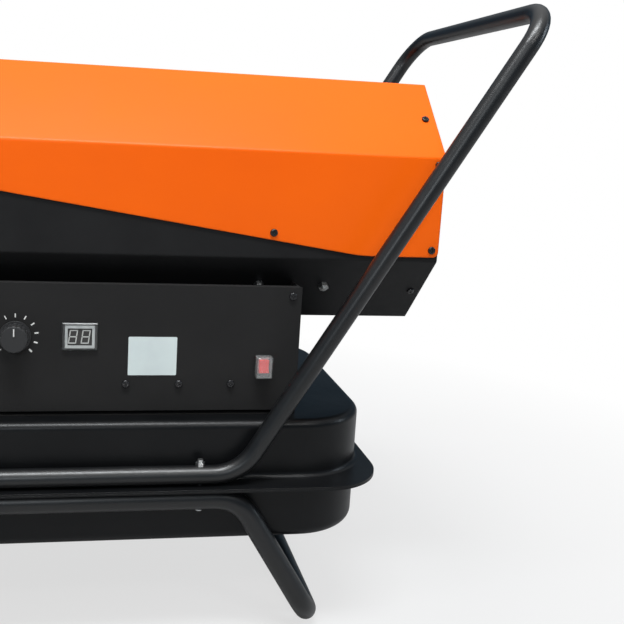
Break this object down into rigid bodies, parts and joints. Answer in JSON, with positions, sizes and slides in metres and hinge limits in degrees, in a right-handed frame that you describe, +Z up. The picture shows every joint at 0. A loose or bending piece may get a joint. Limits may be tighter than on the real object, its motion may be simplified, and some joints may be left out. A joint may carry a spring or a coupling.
{
  "type": "diesel space heater",
  "caption": "Portable diesel space heater: octagonal heater body on a control box and flanged fuel tank, carried by a bent-tube frame with wheels, a foot and a push handle.",
  "frame": {"origin": "on the floor, under the middle of the bounding box", "axes": "+X to the rear with the air intake and handle, -X to the hot-air outlet, -Y to the control panel, +Z up"},
  "size_m": [0.881, 0.499, 0.6895],
  "materials": {
    "orange_paint": "gloss powder coat",
    "black_paint": "satin powder coat",
    "black_screw": "black oxide",
    "heat_steel": "heat-stained",
    "plated_steel": "zinc plated",
    "brass": "machined",
    "ceramic": "glazed",
    "black_plastic": "fine grain",
    "hose_rubber": "matt",
    "cast_aluminium": "cast",
    "core_steel": "laminated",
    "fan_alloy": "pressed",
    "graphite": "sintered",
    "clear_plastic": "clear",
    "board_green": "solder mask",
    "red_plastic": "moulded",
    "tyre_rubber": "matt",
    "grey_plastic": "moulded"
  },
  "bodies": {
    "chassis": {"upper_shell": "orange_paint", "lower_shell": "black_paint", "rear_end_frame": "black_paint", "fan_guard": "black_paint", "front_end_frame": "black_paint", "outlet_ring": "black_paint", "body_screws": "black_screw", "heat_shield": "heat_steel", "combustion_chamber": "heat_steel", "flame_baffle": "heat_steel", "chamber_supports": "plated_steel", "burner_head": "heat_steel", "nozzle_adapter": "brass", "fuel_nozzle": "brass", "ignition_electrodes": "ceramic", "flame_sensor": "black_plastic", "air_hose": "hose_rubber", "fuel_hose": "hose_rubber", "ignition_leads": "hose_rubber", "motor_bracket": "plated_steel", "motor_bolts": "plated_steel", "motor_housing": "cast_aluminium", "motor_stator": "core_steel", "pump_housing": "cast_aluminium", "air_filter_cup": "black_plastic", "tank_upper": "black_paint", "tank_lower": "black_paint", "filler_neck": "black_paint", "fuel_pickup": "plated_steel", "drain_plug": "plated_steel", "control_box": "black_paint", "control_panel": "black_paint", "far_cover": "black_paint", "panel_screws": "black_screw", "display_bezel": "clear_plastic", "display_module": "black_plastic", "control_board": "board_green", "switch_body": "black_plastic", "switch_cover": "clear_plastic", "thermostat_pot": "black_plastic", "ignition_transformer": "black_plastic", "cable_gland": "black_plastic", "handle_tube": "black_paint", "frame_tube": "black_paint", "frame_bolts": "plated_steel", "tube_plugs": "black_plastic", "axle": "plated_steel", "axle_fittings": "black_plastic"},
    "rotor": {"motor_rotor": "core_steel", "fan": "fan_alloy", "pump_rotor": "graphite"},
    "near_wheel": {"near_tyre": "tyre_rubber", "near_rim": "grey_plastic"},
    "far_wheel": {"far_tyre": "tyre_rubber", "far_rim": "grey_plastic"},
    "rocker": {"switch_rocker": "red_plastic"},
    "knob": {"thermostat_knob": "black_plastic"},
    "cap_lift": {"cap_seal": "hose_rubber"},
    "cap": {"fuel_cap": "black_plastic"}
  },
  "joints": [
    {"name": "fan_spin", "type": "hinge", "parent": "chassis", "child": "rotor", "pos_m": [0.19324, 0, 0.465], "axis": [1, 0, 0], "continuous": true},
    {"name": "near_wheel_spin", "type": "hinge", "parent": "chassis", "child": "near_wheel", "pos_m": [-0.31633, -0.22225, 0.08], "axis": [0, 1, 0], "continuous": true},
    {"name": "far_wheel_spin", "type": "hinge", "parent": "chassis", "child": "far_wheel", "pos_m": [-0.31633, 0.22225, 0.08], "axis": [0, 1, 0], "continuous": true},
    {"name": "switch_rock", "type": "hinge", "parent": "chassis", "child": "rocker", "pos_m": [0.15589, -0.1525, 0.2925], "axis": [1, 0, 0], "range_deg": [0, 20]},
    {"name": "thermostat_turn", "type": "hinge", "parent": "chassis", "child": "knob", "pos_m": [-0.10391, -0.152, 0.3238], "axis": [0, 1, 0], "range_deg": [-135, 135]},
    {"name": "fuel_cap_lift", "type": "slide", "parent": "chassis", "child": "cap_lift", "axis": [0, 0, 1], "range_m": [0, 0.045]},
    {"name": "fuel_cap_turn", "type": "hinge", "parent": "cap_lift", "child": "cap", "pos_m": [-0.30251, -0.092, 0.2575], "axis": [0, 0, 1], "range_deg": [0, 90]}
  ]
}
